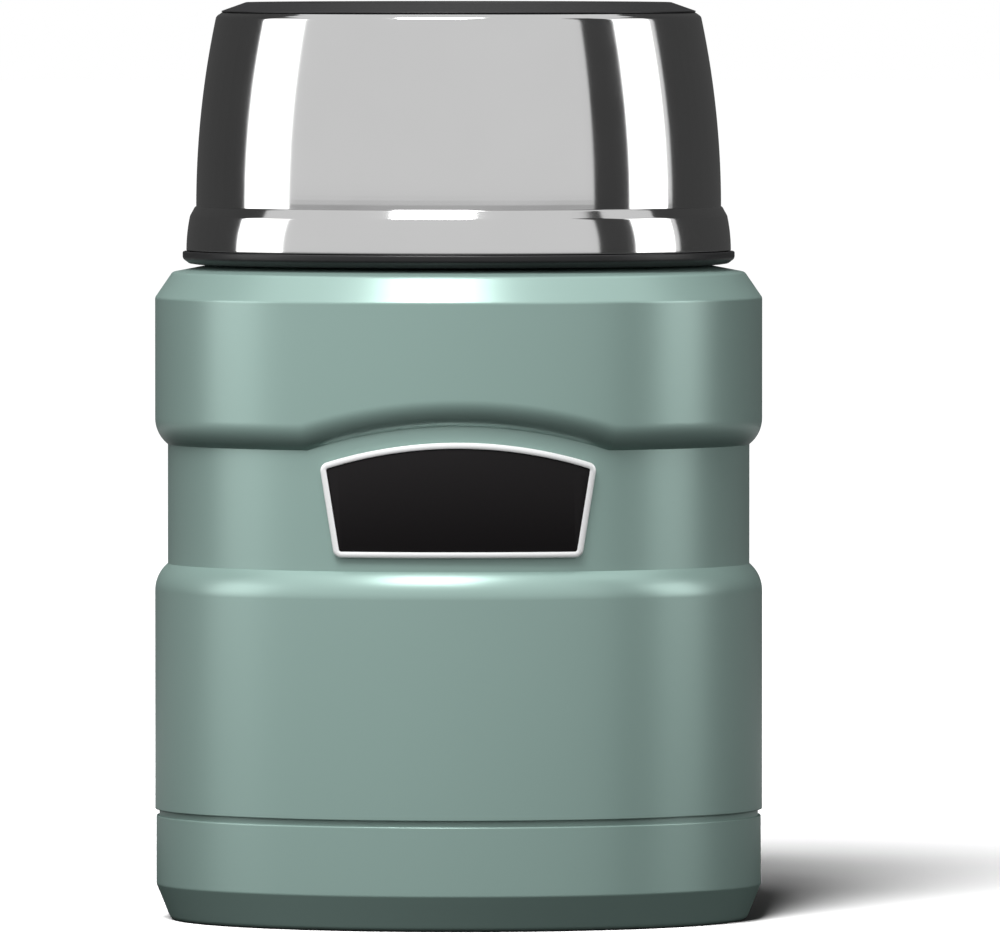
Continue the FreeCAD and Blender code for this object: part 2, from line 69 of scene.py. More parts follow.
def length(name, description, mm):
    """A length the user can change, kept in metres."""
    return bpy.props.FloatProperty(name=name, description=description, default=mm * MM, unit="LENGTH", min=0)


def colour(name, description, code):
    """A colour the user can change, written as sRGB hex."""
    return bpy.props.FloatVectorProperty(
        name=name, description=description, default=linear(code), subtype="COLOR", min=0, max=1)


def brightness(name, description, value):
    """A light's strength the user can change."""
    return bpy.props.FloatProperty(name=name, description=description, default=value, min=0)


class JAR_body_sizes(bpy.types.PropertyGroup):
    """Sizes of the painted body."""
    body_radius: length("Body radius", "Radius of the plain walls", SHELL_RADIUS / MM)
    base_height: length("Base height", "Height of the seam above the ground", 16.2)
    band_depth: length("Band depth", "How far the middle band lies below the walls", 1.97)
    lower_wall_top: length("Lower wall top", "Height where the lower ledge starts", 50.9)
    band_bottom: length("Band bottom", "Height of the crease under the band", 55.1)
    band_top: length("Band top", "Height of the crease over the band at the sides", 73.55)
    upper_wall_bottom: length("Upper wall bottom", "Height where the upper ledge ends", 77.6)
    upper_wall_top: length("Upper wall top", "Height where the shoulder's chamfer starts", 96.25)
    shoulder_edge: length("Shoulder edge", "Height where the chamfer ends", 100.2)
    shoulder_radius: length("Shoulder radius", "Radius where the chamfer ends", 44.3)
    neck_foot: length("Neck foot", "Height where the neck stands up from the shoulder", 102.15)
    neck_radius: length("Neck radius", "Outer radius of the neck", 33.98)
    arch_rise: length("Arch rise", "How far the band's top rises over the badge", 3.8)
    arch_half_width: length("Arch half width", "Half the width of that rise, seen from the front", 23.06)


class JAR_badge_sizes(bpy.types.PropertyGroup):
    """Sizes of the blank badge."""
    bottom: length("Bottom", "Height of the badge's lower edge", 57.2)
    height: length("Height", "Height of the badge at its middle", 17.7)
    bottom_half: length("Bottom half width", "Half width at the lower edge", 18.97)
    top_half: length("Top half width", "Half width at the upper corners", 21.26)
    arch: length("Arch", "Rise of the upper edge", 3.5)
    corner: length("Corner", "Radius of the corners", 1.3)
    border: length("Border", "Width of the pale border", 0.95)


class JAR_bowl_sizes(bpy.types.PropertyGroup):
    """Sizes of the serving bowl that closes the jar."""
    rim_bottom: length("Rim bottom", "Height of the black rim's lower edge", 101.38)
    rim_radius: length("Rim radius", "Outer radius of the black rim", 42.73)
    rim_top: length("Rim top", "Height of the rim's upper edge", 103.53)
    skirt_radius: length("Skirt radius", "Radius at the sleeve's foot", 42.15)
    step_height: length("Step height", "Height of the sleeve's step", 110.25)
    side_radius: length("Side radius", "Radius of the side above the step", 40.63)
    top_radius: length("Top radius", "Radius of the side at its top", 37.5)
    top: length("Top", "Height of the closed jar", 141.93)


class JAR_colours(bpy.types.PropertyGroup):
    """Colours of the finishes."""
    paint: colour("Paint", "Body enamel", "8FA9A2")
    steel: colour("Steel", "Polished steel", "C4C4C4")
    black: colour("Black", "Moulded trim", "1C1C1D")
    border: colour("Badge border", "Pale metal border", "EFF0F0")
    field: colour("Badge field", "Dark field", "141213")
    rubber: colour("Seal", "Silicone seal", "B9BDBB")


class JAR_studio(bpy.types.PropertyGroup):
    """Light of the plain studio."""
    fill: brightness("Fill", "Strength of the room's light from the front", 1.25)
    left_strip: brightness("Left strip", "Brightness of the left strip", 3.0)
    right_strip: brightness("Right strip", "Brightness of the right strip", 3.5)
    overhead: brightness("Overhead", "Brightness of the top light", 11.5)
    key: brightness("Key", "Brightness of the light at the front left", 6.9)
    shadow: bpy.props.FloatProperty(
        name="Floor lights", description="Power of the lights that fall on the floor alone",
        default=900.0, min=0, subtype="POWER", unit="POWER")


# Outlines


def rounded(points, steps=7, hold=0.12, most=0.48):
    """Closed outline of (radius, height[, corner round]) points, with its corners turned into arcs.

    Each straight run gets a point near both ends, at the distance hold, to keep smooth shading off the flat parts.
    A corner takes at most the share called most of a run.
    """
    flat = [Vector((p[0], p[1])) for p in points]
    count = len(points)
    path = []
    for i, point in enumerate(points):
        here = flat[i]
        size = point[2] if len(point) > 2 else 0
        if not size:
            path.append([here])
            continue
        back = (flat[i - 1] - here).normalized()
        ahead = (flat[(i + 1) % count] - here).normalized()
        half = back.angle(ahead) / 2
        reach = min(size / math.tan(half), (flat[i - 1] - here).length * most,
                    (flat[(i + 1) % count] - here).length * most)
        size = reach * math.tan(half)
        centre = here + (back + ahead).normalized() * (size / math.sin(half))
        start = here + back * reach - centre
        end = here + ahead * reach - centre
        sweep = start.angle_signed(end)
        arc = []
        for k in range(steps + 1):
            turn = sweep * k / steps
            arc.append(centre + Vector((
                start.x * math.cos(turn) + start.y * math.sin(turn),
                start.y * math.cos(turn) - start.x * math.sin(turn),
            )))
        path.append(arc)
    out = []
    for i, arc in enumerate(path):
        out += arc
        after = path[(i + 1) % count][0]
        run = after - arc[-1]
        if run.length > 5 * hold:
            out.append(arc[-1] + run.normalized() * hold)
            out.append(after - run.normalized() * hold)
    return [(p.x, p.y) for p in out]


def bow(start, end, upright_end, steps):
    """Points between start and end on the arc that is upright at one of them."""
    tall = end[1] - start[1]
    wide = end[0] - start[0]
    radius = (tall * tall + wide * wide) / (2 * abs(wide))
    reach = math.asin(abs(tall) / radius)
    points = []
    for k in range(1, steps):
        if upright_end == "start":
            turn = reach * k / steps
            points.append((
                start[0] + math.copysign(radius - radius * math.cos(turn), wide),
                start[1] + math.copysign(radius * math.sin(turn), tall),
            ))
        else:
            turn = reach * (1 - k / steps)
            points.append((
                end[0] - math.copysign(radius - radius * math.cos(turn), wide),
                end[1] - math.copysign(radius * math.sin(turn), tall),
            ))
    return points


def even(count):
    """Angles all round, in even steps."""
    return [2 * math.pi * i / count for i in range(count)]


def finer_front(reach, fine, coarse):
    """Angles all round, with fine steps across the front where the arch is."""
    front = [math.radians(-reach + 2 * reach * i / fine) for i in range(fine)]
    rest = [math.radians(reach + (360 - 2 * reach) * i / coarse) for i in range(coarse)]
    return front + rest


def turned(name, outline, angles):
    """Turns a piece round the axis from a closed outline in millimetres, at angles from the front."""
    verts = []
    rings = []
    for radius, height in outline:
        if radius < 1e-6:
            rings.append([len(verts)])
            verts.append((0, 0, height * MM))
            continue
        rings.append(list(range(len(verts), len(verts) + len(angles))))
        for angle in angles:
            verts.append((radius * MM * math.sin(angle), -radius * MM * math.cos(angle), height * MM))
    faces = []
    count = len(angles)
    for low, high in zip(rings, rings[1:] + rings[:1]):
        for i in range(count):
            j = (i + 1) % count
            if len(low) == 1 and len(high) == 1:
                break
            if len(low) == 1:
                faces.append((low[0], high[j], high[i]))
            elif len(high) == 1:
                faces.append((low[i], low[j], high[0]))
            else:
                faces.append((low[i], low[j], high[j], high[i]))
    return solid(name, verts, faces)


def solid(name, verts, faces):
    """A smooth-shaded piece from its points and faces, creased where it turns sharply."""
    mesh = bpy.data.meshes.new(name)
    mesh.from_pydata(verts, [], faces)
    build = bmesh.new()
    build.from_mesh(mesh)
    bmesh.ops.recalc_face_normals(build, faces=build.faces)
    build.to_mesh(mesh)
    build.free()
    mesh.shade_smooth()
    mesh.set_sharp_from_angle(angle=CREASE)
    piece = bpy.data.objects.new(name, mesh)
    bpy.context.scene.collection.objects.link(piece)
    return piece


def dress(piece, body, slot, *nodes):
    """Ties a finished piece to its CAD body and hides the CAD nodes it stands for; the slot is not used."""
    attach(piece, body)
    if nodes:
        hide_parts(*nodes)
    return piece


# Nodes


def put(tree, kind, inputs=None, **settings):
    """Adds a node with its settings; an input is a value or another node's output."""
    made = tree.nodes.new(kind)
    for field, value in settings.items():
        setattr(made, field, value)
    for socket, value in (inputs or {}).items():
        if isinstance(value, bpy.types.NodeSocket):
            tree.links.new(value, made.inputs[socket])
        else:
            made.inputs[socket].default_value = value
    return made


def shape_tree(name, sizes):
    """A new geometry tree with named sizes and a finish as its inputs, and its group input node."""
    tree = bpy.data.node_groups.new(name, "GeometryNodeTree")
    tree.interface.new_socket("Geometry", in_out="INPUT", socket_type="NodeSocketGeometry")
    for size, kind in sizes.items():
        tree.interface.new_socket(size, in_out="INPUT", socket_type=kind)
    tree.interface.new_socket("Finish", in_out="INPUT", socket_type="NodeSocketMaterial")
    tree.interface.new_socket("Geometry", in_out="OUTPUT", socket_type="NodeSocketGeometry")
    return tree, tree.nodes.new("NodeGroupInput")


def apply_tree(piece, tree, values):
    """Runs a geometry tree on a piece with these inputs and keeps the result as its plain mesh."""
    modifier = piece.modifiers.new(tree.name, "NODES")
    modifier.node_group = tree
    ids = {s.name: s.identifier for s in tree.interface.items_tree if s.in_out == "INPUT"}
    for name, value in values.items():
        modifier[ids[name]] = value
    bpy.context.view_layer.update()
    graph = bpy.context.evaluated_depsgraph_get()
    baked = bpy.data.meshes.new_from_object(piece.evaluated_get(graph), depsgraph=graph)
    piece.modifiers.remove(modifier)
    piece.data = baked
    return piece


def math_node(tree, operation, *inputs):
    """Output of one arithmetic node."""
    return put(tree, "ShaderNodeMath", dict(enumerate(inputs)), operation=operation).outputs[0]


def slope(tree, value, start, end):
    """A soft step from 0 to 1 between two values."""
    return put(tree, "ShaderNodeMapRange", {0: value, 1: start, 2: end},
               interpolation_type="SMOOTHSTEP").outputs[0]


def arch_tree():
    """Lifts the ledge over the band into an arch across the front.

    The band and the wall are plain cylinders, so their points only slide up, and the ledge keeps its section.
    """
    sizes = dict.fromkeys(("Band radius", "Rise", "Half width", "Fade in", "Ledge low", "Ledge high", "Fade out"),
                          "NodeSocketFloat")
    tree, given = shape_tree("Arch over the badge", sizes)
    size = given.outputs
    place = put(tree, "ShaderNodeSeparateXYZ", {0: put(tree, "GeometryNodeInputPosition").outputs[0]}).outputs
    forward = math_node(tree, "MULTIPLY", place[1], -1.0)
    angle = math_node(tree, "ARCTAN2", place[0], forward)
    across = math_node(tree, "MULTIPLY", math_node(tree, "SINE", angle), size["Band radius"])
    at_front = math_node(tree, "GREATER_THAN", forward, 0.0)
    wide = math_node(tree, "MULTIPLY", size["Half width"], size["Half width"])
    tall = math_node(tree, "MULTIPLY", size["Rise"], size["Rise"])
    radius = math_node(
        tree, "DIVIDE", math_node(tree, "ADD", wide, tall), math_node(tree, "MULTIPLY", size["Rise"], 2.0))
    level = math_node(tree, "SUBTRACT", radius, size["Rise"])
    inside = math_node(tree, "SUBTRACT", math_node(tree, "MULTIPLY", radius, radius),
                       math_node(tree, "MULTIPLY", across, across))
    height = math_node(tree, "MAXIMUM", math_node(
        tree, "SUBTRACT", math_node(tree, "SQRT", inside), level), 0.0)
    fade_in = put(tree, "ShaderNodeMapRange", {
        0: place[2], 1: size["Fade in"], 2: size["Ledge low"]}).outputs[0]
    fade_out = put(tree, "ShaderNodeMapRange", {
        0: place[2], 1: size["Ledge high"], 2: size["Fade out"], 3: 1.0, 4: 0.0}).outputs[0]
    share = math_node(tree, "MULTIPLY", math_node(tree, "MULTIPLY", fade_in, fade_out), at_front)
    lift = put(tree, "ShaderNodeCombineXYZ", {2: math_node(tree, "MULTIPLY", height, share)}).outputs[0]
    moved = put(tree, "GeometryNodeSetPosition", {"Geometry": size["Geometry"], "Offset": lift}).outputs[0]
    real = put(tree, "GeometryNodeRealizeInstances", {0: moved}).outputs[0]
    done = put(tree, "GeometryNodeSetMaterial", {"Geometry": real, "Material": size["Finish"]}).outputs[0]
    put(tree, "NodeGroupOutput", {0: done})
    return tree


def thread_tree():
    """Screw ridges on a neck: a spiral bar, thinned out at its ends and set round the axis once per start."""
    sizes = dict.fromkeys(("Radius", "Foot", "Height", "Turns", "First angle", "Ridge", "Root", "Crest"),
                          "NodeSocketFloat")
    sizes["Starts"] = "NodeSocketInt"
    tree, given = shape_tree("Screw ridges", sizes)
    size = given.outputs
    spiral = put(tree, "GeometryNodeCurveSpiral", {
        "Resolution": 240, "Rotations": size["Turns"], "Start Radius": size["Radius"],
        "End Radius": size["Radius"], "Height": size["Height"]}).outputs[0]
    upright = put(tree, "GeometryNodeSetCurveNormal", {"Curve": spiral}, mode="Z_UP").outputs[0]
    along = put(tree, "GeometryNodeSplineParameter").outputs["Factor"]
    near_end = math_node(tree, "MINIMUM", along, math_node(tree, "SUBTRACT", 1.0, along))
    taper = put(tree, "ShaderNodeMapRange", {0: near_end, 1: 0.0, 2: 0.12, 3: 0.15, 4: 1.0},
                interpolation_type="SMOOTHSTEP").outputs[0]
    thin = put(tree, "GeometryNodeSetCurveRadius", {"Curve": upright, "Radius": taper}).outputs[0]
    bar = put(tree, "GeometryNodeCurvePrimitiveQuadrilateral", {
        "Height": size["Ridge"], "Bottom Width": size["Root"], "Top Width": size["Crest"], "Offset": 0.0},
        mode="TRAPEZOID").outputs[0]
    bar = put(tree, "GeometryNodeTransform", {
        "Geometry": bar, "Rotation": (0.0, 0.0, math.radians(90))}).outputs[0]
    ridge = put(tree, "GeometryNodeCurveToMesh", {
        "Curve": thin, "Profile Curve": bar, "Fill Caps": True}).outputs[0]
    points = put(tree, "GeometryNodePoints", {"Count": size["Starts"]}).outputs[0]
    index = put(tree, "GeometryNodeInputIndex").outputs[0]
    step = math_node(tree, "DIVIDE", 2 * math.pi, size["Starts"])
    turn = math_node(tree, "ADD", math_node(tree, "MULTIPLY", index, step), size["First angle"])
    rotation = put(tree, "ShaderNodeCombineXYZ", {2: turn}).outputs[0]
    copies = put(tree, "GeometryNodeInstanceOnPoints", {
        "Points": points, "Instance": ridge, "Rotation": rotation}).outputs[0]
    lift = put(tree, "ShaderNodeCombineXYZ", {2: size["Foot"]}).outputs[0]
    raised = put(tree, "GeometryNodeTransform", {"Geometry": copies, "Translation": lift}).outputs[0]
    real = put(tree, "GeometryNodeRealizeInstances", {0: raised}).outputs[0]
    done = put(tree, "GeometryNodeSetMaterial", {"Geometry": real, "Material": size["Finish"]}).outputs[0]
    put(tree, "NodeGroupOutput", {0: done})
    return tree


# Finishes


def finish(name):
    """An empty material, its tree, and its place on the piece."""
    made = bpy.data.materials.new(name)
    made.use_nodes = True
    tree = made.node_tree
    tree.nodes.clear()
    place = put(tree, "ShaderNodeTexCoord").outputs["Object"]
    return made, tree, place


def surface(tree, **inputs):
    """Joins a principled surface to the material's output and returns it."""
    named = {key.replace("_", " "): value for key, value in inputs.items()}
    shader = put(tree, "ShaderNodeBsdfPrincipled", named)
    put(tree, "ShaderNodeOutputMaterial", {0: shader.outputs[0]})
    return shader


def noise(tree, place, grain_mm, detail=2.0, seed=0.0):
    """Noise whose lumps are this many millimetres across."""
    return put(tree, "ShaderNodeTexNoise", {
        "Vector": place, "W": seed, "Scale": 1000.0 / grain_mm, "Detail": detail},
        noise_dimensions="4D").outputs[0]


def spread(tree, value, low, high):
    """Maps noise to a range."""
    return put(tree, "ShaderNodeMapRange", {0: value, 1: 0.3, 2: 0.7, 3: low, 4: high}).outputs[0]


def shade(tree, value, base, dark, light):
    """Base colour, made a little darker and lighter by noise."""
    amount = spread(tree, value, dark, light)
    return put(tree, "ShaderNodeVectorMath", {0: base, "Scale": amount}, operation="SCALE").outputs[0]


def bumps(tree, value, depth_mm, strength):
    """Surface normal from a height in millimetres."""
    return put(tree, "ShaderNodeBump", {
        "Height": value, "Distance": depth_mm * MM, "Strength": strength}).outputs[0]


def satin_paint():
    """Baked enamel with a little metal flake: satin, with a fine pebble that softens every highlight."""
    made, tree, place = finish("baked_satin_enamel")
    pebble = noise(tree, place, 0.35)
    drift = noise(tree, place, 30.0, seed=3.0)
    paint = tuple(bpy.context.scene.jar_colours.paint)
    surface(tree, Base_Color=shade(tree, drift, paint, 0.996, 1.004),
            Roughness=spread(tree, drift, 0.305, 0.315), Metallic=0.33, IOR=1.5,
            Normal=bumps(tree, pebble, 0.004, 0.35))
    return made


def polished_steel():
    """Stainless steel, buffed to a mirror: clean edges in what it reflects, with a faint haze."""
    made, tree, place = finish("polished_stainless_steel")
    haze = noise(tree, place, 12.0)
    steel = tuple(bpy.context.scene.jar_colours.steel)
    surface(tree, Base_Color=shade(tree, haze, steel, 0.99, 1.01), Metallic=1.0,
            Roughness=spread(tree, haze, 0.07, 0.09))
    return made


def turned_steel(name, rough):
    """Stainless steel, brushed round the axis: satin, with fine level rings."""
    made, tree, place = finish(name)
    # The rings are 0.2 mm apart, stretched far round the axis
    split = put(tree, "ShaderNodeSeparateXYZ", {0: place}).outputs
    rings = put(tree, "ShaderNodeCombineXYZ", {0: 0.0, 1: 0.0, 2: split[2]}).outputs[0]
    lines = noise(tree, rings, 0.2, detail=4.0)
    steel = linear("BDBCBA")
    surface(tree, Base_Color=shade(tree, lines, steel, 0.94, 1.04), Metallic=1.0,
            Roughness=spread(tree, lines, rough - 0.05, rough + 0.07), Normal=bumps(tree, lines, 0.003, 0.3))
    return made


def moulded_black(name, rough):
    """Moulded polypropylene with an even spark-eroded grain: near black, with a soft sheen."""
    made, tree, place = finish(name)
    grain = noise(tree, place, 0.5, detail=3.0)
    black = tuple(bpy.context.scene.jar_colours.black)
    surface(tree, Base_Color=shade(tree, grain, black, 0.95, 1.05),
            Roughness=spread(tree, grain, rough - 0.03, rough + 0.05), IOR=1.49, Specular_IOR_Level=0.35,
            Normal=bumps(tree, grain, 0.004, 0.4))
    return made


def badge_metal():
    """Bright aluminium border: pale, with a fine satin."""
    made, tree, place = finish("satin_aluminium")
    grain = noise(tree, place, 0.3)
    pale = tuple(bpy.context.scene.jar_colours.border)
    surface(tree, Base_Color=shade(tree, grain, pale, 0.98, 1.02), Metallic=0.35, Roughness=0.38,
            Normal=bumps(tree, grain, 0.002, 0.3))
    return made


def badge_enamel():
    """Matt black enamel in the badge's field, left bare."""
    made, tree, place = finish("matt_black_enamel")
    grain = noise(tree, place, 0.4)
    field = tuple(bpy.context.scene.jar_colours.field)
    surface(tree, Base_Color=shade(tree, grain, field, 0.95, 1.05), Roughness=0.5, IOR=1.5,
            Specular_IOR_Level=0.12, Normal=bumps(tree, grain, 0.002, 0.3))
    return made


def silicone():
    """Moulded silicone: pale, slightly milky and dull."""
    made, tree, place = finish("moulded_silicone")
    cloud = noise(tree, place, 4.0)
    pale = tuple(bpy.context.scene.jar_colours.rubber)
    surface(tree, Base_Color=shade(tree, cloud, pale, 0.96, 1.02), Roughness=0.55, IOR=1.41,
            Subsurface_Weight=0.15, Subsurface_Scale=0.001)
    return made


def plain_finish(name, code, rough, metal=0.0, grain_mm=0.6):
    """Finish of a piece that stays inside the jar, with a light grain."""
    made, tree, place = finish(name)
    grain = noise(tree, place, grain_mm, detail=4.0)
    surface(tree, Base_Color=shade(tree, grain, linear(code), 0.92, 1.05), Metallic=metal,
            Roughness=spread(tree, grain, rough - 0.05, rough + 0.05), Normal=bumps(tree, grain, 0.01, 0.3))
    return made


# Pieces


class JAR_OT_body(bpy.types.Operator):
    """Builds the painted body, its neck with screw ridges, and the base"""
    bl_idname = "jar.body"
    bl_label = "Body"

    def execute(self, context):
        sizes = context.scene.jar_body
        mm = {key: getattr(sizes, key) / MM for key in sizes.__annotations__}
        paint = satin_paint()
        steel = turned_steel("brushed_neck_steel", 0.3)
        self.shell(sizes, mm, paint, steel)
        self.ridges(sizes, steel)
        self.base(mm, paint)
        return {"FINISHED"}

    def shell(self, sizes, mm, paint, steel):
        """The painted shell with its band and arch, and the bare steel neck."""
        sheet = 0.6
        side, neck = mm["body_radius"], mm["neck_radius"]
        band = side - mm["band_depth"]
        foot = mm["base_height"] + 0.9
        neck_top = SHELL_TOP / MM - 1.05
        # The arch lifts nothing lower than this over the band's lower crease
        still = 7.0
        low_ledge = bow((side, mm["lower_wall_top"]), (band, mm["band_bottom"]), "start", 14)
        high_ledge = bow((band, mm["band_top"]), (side, mm["upper_wall_bottom"]), "end", 14)
        outer = [(side, foot, 0.12), (side, mm["lower_wall_top"]), *low_ledge, (band, mm["band_bottom"]),
                 (band, mm["band_bottom"] + still), (band, mm["band_top"]), *high_ledge,
                 (side, mm["upper_wall_bottom"]), (side, mm["upper_wall_top"], 0.7),
                 (mm["shoulder_radius"], mm["shoulder_edge"], 0.9), (neck + 2.4, mm["neck_foot"] - 0.42),
                 (neck, mm["neck_foot"], 0.9), (neck, neck_top)]
        inner = [(neck - sheet, neck_top), (neck - sheet, mm["neck_foot"] - sheet),
                 (mm["shoulder_radius"] - sheet / 2, mm["shoulder_edge"] - sheet),
                 (side - sheet, mm["upper_wall_top"] - sheet / 2), (side - sheet, mm["upper_wall_bottom"]),
                 (band - sheet, mm["band_top"]), (band - sheet, mm["band_bottom"] + still),
                 (band - sheet, mm["band_bottom"]), (side - sheet, mm["lower_wall_top"]),
                 (side - sheet, foot)]
        shell = turned("body_shell", rounded(outer + inner), finer_front(36.0, 320, 160))
        apply_tree(shell, arch_tree(), {
            "Band radius": sizes.body_radius - sizes.band_depth, "Rise": sizes.arch_rise,
            "Half width": sizes.arch_half_width, "Fade in": sizes.band_bottom + (still + 0.2) * MM,
            "Ledge low": sizes.band_top - 0.15 * MM, "Ledge high": sizes.upper_wall_bottom + 0.15 * MM,
            "Fade out": sizes.upper_wall_top - 0.9 * MM, "Finish": paint})
        shell.data.materials.append(steel)
        paint_edge = sizes.neck_radius + 2.1 * MM
        for face in shell.data.polygons:
            bare = face.center.xy.length < paint_edge and face.center.z > sizes.shoulder_edge
            face.material_index = 1 if bare else 0
        shell.data.set_sharp_from_angle(angle=CREASE)
        dress(shell, "jar", "body_paint", "outer_shell")

    def ridges(self, sizes, steel):
        """The screw ridges on the neck, which climb by part of the thread's lead."""
        lead, climb = 12.0, 3.6
        ridges = solid("neck_thread", [(0, 0, 0)], [])
        apply_tree(ridges, thread_tree(), {
            "Radius": sizes.neck_radius + 0.4 * MM, "Foot": 105.35 * MM, "Height": climb * MM,
            "Turns": climb / lead, "First angle": math.radians(280.5), "Ridge": 1.2 * MM, "Root": 1.8 * MM,
            "Crest": 0.9 * MM, "Starts": 3, "Finish": steel})
        dress(ridges, "jar", "vessel_steel")

    def base(self, mm, paint):
        """The pressed base: foot ring, chamfer, wall up to the seam, and the lap inside the shell."""
        sheet = 0.6
        seam = mm["base_height"]
        wall = mm["body_radius"] - 0.2
        foot = wall - 2.25
        chamfer_top = 5.5
        recess, recess_edge = 2.0, foot - 3.6
        port, port_edge, port_foot = 3.3, 5.0, 6.3
        lap, lap_top = mm["body_radius"] - 0.65, seam + 5
        outline = [(0, port), (port_edge, port), (port_foot, recess), (recess_edge, recess),
                   (foot - 2.6, 0, 0.45), (foot, 0, 1.1), (wall, chamfer_top, 0.9), (wall, seam, 0.25),
                   (lap, seam - 0.15), (lap, lap_top), (lap - sheet, lap_top), (lap - sheet, seam - sheet),
                   (wall - sheet, seam - 1.2),
                   (wall - sheet, chamfer_top), (foot - 0.3, sheet), (foot - 2.3, sheet),
                   (recess_edge, recess + sheet), (port_foot, recess + sheet), (port_edge, port + sheet),
                   (0, port + sheet)]
        base = turned("base", rounded(outline), even(240))
        base.data.materials.append(paint)
        dress(base, "jar", "base_paint", "base_cap")


class JAR_OT_badge(bpy.types.Operator):
    """Builds the blank badge on the front of the band"""
    bl_idname = "jar.badge"
    bl_label = "Badge"

    def execute(self, context):
        s = context.scene.jar_badge
        body = context.scene.jar_body
        self.band = (body.body_radius - body.band_depth) / MM
        border = s.border / MM
        plan = {key: getattr(s, key) / MM for key in s.__annotations__}
        # Each loop is (inset from the badge's edge, height above the band)
        frame_loops = ((0, 0.15), (0, 0.6), (0.1, 0.78), (0.24, 0.85), (border - 0.2, 0.85),
                       (border - 0.06, 0.8), (border, 0.68), (border, 0.15))
        border_piece = self.ring("badge_border", plan, frame_loops, True)
        border_piece.data.materials.append(badge_metal())
        dress(border_piece, "jar", "badge_border", "badge_frame")
        field_loops = ((border + 0.02, 0.15), (border + 0.02, 0.62), (border + 0.1, 0.65))
        field = self.ring("badge_field", plan, field_loops, False)
        field.data.materials.append(badge_enamel())
        dress(field, "jar", "badge_field", "badge_plate")
        return {"FINISHED"}

    def edge(self, plan, inset):
        """The badge's outline seen from the front, this far inside its edge, as evenly shared points."""
        low = plan["bottom"] + inset
        top = plan["bottom"] + plan["height"]
        rise = plan["arch"]
        radius = (plan["top_half"] ** 2 + rise ** 2) / (2 * rise)
        lean = (plan["top_half"] - plan["bottom_half"]) / (plan["height"] - rise)
        side = inset * math.hypot(1, lean)
        low_half = plan["bottom_half"] + lean * inset - side
        centre = top - radius
        arc = radius - inset
        half = plan["top_half"] - side
        # The upper corner lies on both the arc and the leaning side, and a few rounds settle it there
        for _ in range(20):
            height = centre + math.sqrt(arc ** 2 - half ** 2)
            half = low_half + lean * (height - low)
        reach = math.asin(half / arc)
        crown = []
        steps = 48
        # The first and last points would fall within the corners' arcs
        for k in range(2, steps - 1):
            turn = reach - 2 * reach * k / steps
            crown.append((arc * math.sin(turn), centre + arc * math.cos(turn)))
        tightest = 0.35
        corner = max(plan["corner"] - inset, tightest)
        points = [(low_half, low, corner), (half, height, corner), *crown, (-half, height, corner),
                  (-low_half, low, corner)]
        return self.share(self.soften(points))

    def soften(self, points, steps=8):
        """Rounds the four corners with arcs of the same number of points at every inset."""
        count = len(points)
        out = []
        for i, point in enumerate(points):
            here = Vector(point[:2])
            if len(point) < 3:
                out.append(here)
                continue
            back = (Vector(points[i - 1][:2]) - here).normalized()
            ahead = (Vector(points[(i + 1) % count][:2]) - here).normalized()
            half = back.angle(ahead) / 2
            reach = point[2] / math.tan(half)
            centre = here + (back + ahead).normalized() * (point[2] / math.sin(half))
            start, end = here + back * reach - centre, here + ahead * reach - centre
            for k in range(steps + 1):
                blend = start.lerp(end, k / steps).normalized() * point[2]
                out.append(centre + blend)
        return out

    def share(self, points, longest=10, pieces=24):
        """Cuts each run over the longest length, in millimetres, into pieces that can bend round the band."""
        out = []
        for point, after in zip(points, points[1:] + points[:1]):
            cuts = pieces if (after - point).length > longest else 1
            for k in range(cuts):
                out.append(point.lerp(after, k / cuts))
        return out

    def ring(self, name, plan, loops, hollow):
        """A band of loops round the badge, closed to a ring or filled across."""
        verts, faces, rows = [], [], []
        for inset, rise in loops:
            row = []
            for x, z in self.edge(plan, inset):
                row.append(len(verts))
                verts.append((x * MM, -math.sqrt((self.band + rise) ** 2 - x * x) * MM, z * MM))
            rows.append(row)
        count = len(rows[0])
        if any(len(row) != count for row in rows):
            raise RuntimeError("the badge's loops don't match")
        pairs = zip(rows, rows[1:] + rows[:1]) if hollow else zip(rows, rows[1:])
        for a, b in pairs:
            for i in range(count):
                j = (i + 1) % count
                faces.append((a[i], a[j], b[j], b[i]))
        if not hollow:
            self.fill(verts, faces, rows[0])
            self.fill(verts, faces, rows[-1])
        return solid(name, verts, faces)

    def fill(self, verts, faces, row):
        """Fills a loop with strips between its two ways from the leftmost point to the rightmost."""
        across = [verts[i][0] for i in row]
        first = across.index(min(across))
        loop = row[first:] + row[:first]
        turn = loop.index(row[across.index(max(across))])
        over = loop[:turn + 1]
        under = [loop[0], *reversed(loop[turn:])]
        i = j = 0
        while i < len(over) - 1 or j < len(under) - 1:
            next_over = verts[over[i + 1]][0] if i < len(over) - 1 else math.inf
            next_under = verts[under[j + 1]][0] if j < len(under) - 1 else math.inf
            if next_over <= next_under:
                strip = (over[i], over[i + 1], under[j])
                i += 1
            else:
                strip = (over[i], under[j + 1], under[j])
                j += 1
            if len(set(strip)) == 3:
                faces.append(strip)


